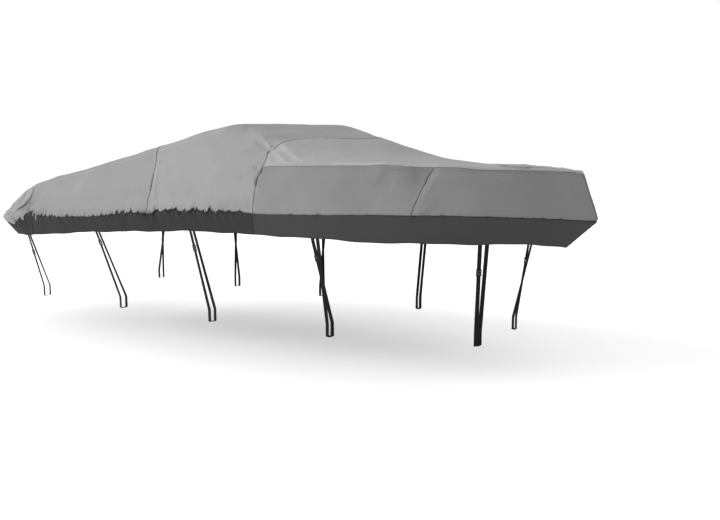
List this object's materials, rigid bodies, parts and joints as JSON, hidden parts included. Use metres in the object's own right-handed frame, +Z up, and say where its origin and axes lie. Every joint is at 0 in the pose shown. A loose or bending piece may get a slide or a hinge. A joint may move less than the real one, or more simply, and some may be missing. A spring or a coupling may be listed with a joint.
{
  "type": "boat cover",
  "caption": "Fitted towing cover of a runabout boat, tented over the windscreen, with a darker skirt below the rub rail and buckled webbing tie-downs.",
  "frame": {"origin": "inner face of the cloth on the centreline, where the boat's windscreen holds up the top of the cover", "axes": "+X to the bow, +Y to port, +Z up"},
  "size_m": [7.2411, 2.4346, 2.0895],
  "materials": {
    "panel_cloth": "light grey coated woven polyester, sun-bleached on top",
    "side_cloth": "grey coated woven polyester",
    "skirt_cloth": "charcoal coated woven polyester with a turned-up hem",
    "webbing": "black polypropylene webbing, flat woven",
    "buckle": "black moulded acetal, slightly glossy"
  },
  "bodies": {
    "root": {"stern_panel": "panel_cloth", "aft_panel": "panel_cloth", "mid_panel": "panel_cloth", "foredeck_panel": "panel_cloth", "side_panel_starboard": "side_cloth", "side_panel_port": "side_cloth", "bow_panel_starboard": "side_cloth", "bow_panel_port": "side_cloth", "stern_skirt": "skirt_cloth", "aft_skirt_starboard": "skirt_cloth", "aft_skirt_port": "skirt_cloth", "fore_skirt_starboard": "skirt_cloth", "fore_skirt_port": "skirt_cloth", "tie_stern_starboard": "webbing", "tie_stern_port": "webbing", "tie_aft_starboard": "webbing", "tie_aft_port": "webbing", "tie_mid_starboard": "webbing", "tie_mid_port": "webbing", "tie_fore_starboard": "webbing", "tie_fore_port": "webbing", "tie_bow_starboard": "webbing", "tie_bow_port": "webbing", "tab_stern_starboard": "webbing", "tab_stern_port": "webbing", "tab_aft_starboard": "webbing", "tab_aft_port": "webbing", "tab_mid_starboard": "webbing", "tab_mid_port": "webbing", "tab_fore_starboard": "webbing", "tab_fore_port": "webbing", "tab_bow_starboard": "webbing", "tab_bow_port": "webbing", "buckle_stern_starboard": "buckle", "buckle_stern_port": "buckle", "buckle_aft_starboard": "buckle", "buckle_aft_port": "buckle", "buckle_mid_starboard": "buckle", "buckle_mid_port": "buckle", "buckle_fore_starboard": "buckle", "buckle_fore_port": "buckle", "buckle_bow_starboard": "buckle", "buckle_bow_port": "buckle"}
  },
  "joints": []
}
